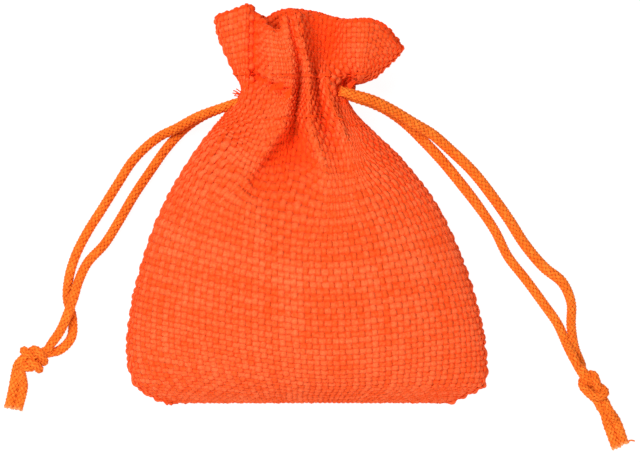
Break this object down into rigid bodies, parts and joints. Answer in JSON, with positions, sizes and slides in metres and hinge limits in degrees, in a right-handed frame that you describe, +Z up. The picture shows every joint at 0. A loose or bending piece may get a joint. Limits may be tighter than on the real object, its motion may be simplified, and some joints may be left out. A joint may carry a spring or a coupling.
{
  "type": "small burlap drawstring sack",
  "caption": "Small flat-lying drawstring sack of coarse plain-weave cloth, neck drawn shut below a ruffled heading, with knotted cord ends at each side.",
  "frame": {"origin": "on the surface that the sack lies on, under the middle of the cloth's outline, cords left out", "axes": "+X across the sack to its right side, +Y from the bottom fold to the mouth, +Z up out of the front"},
  "size_m": [0.1261, 0.0891, 0.0241],
  "materials": {
    "burlap": "matte coarse plain weave",
    "cord": "soft braided cord"
  },
  "bodies": {
    "root": {"sack": "burlap", "knot_left": "cord", "knot_right": "cord", "strand_left_outer": "cord", "strand_left_inner": "cord", "strand_right_outer": "cord", "strand_right_inner": "cord", "tail_left_long": "cord", "tail_left_short": "cord", "tail_right_long": "cord", "tail_right_short": "cord"}
  },
  "joints": []
}
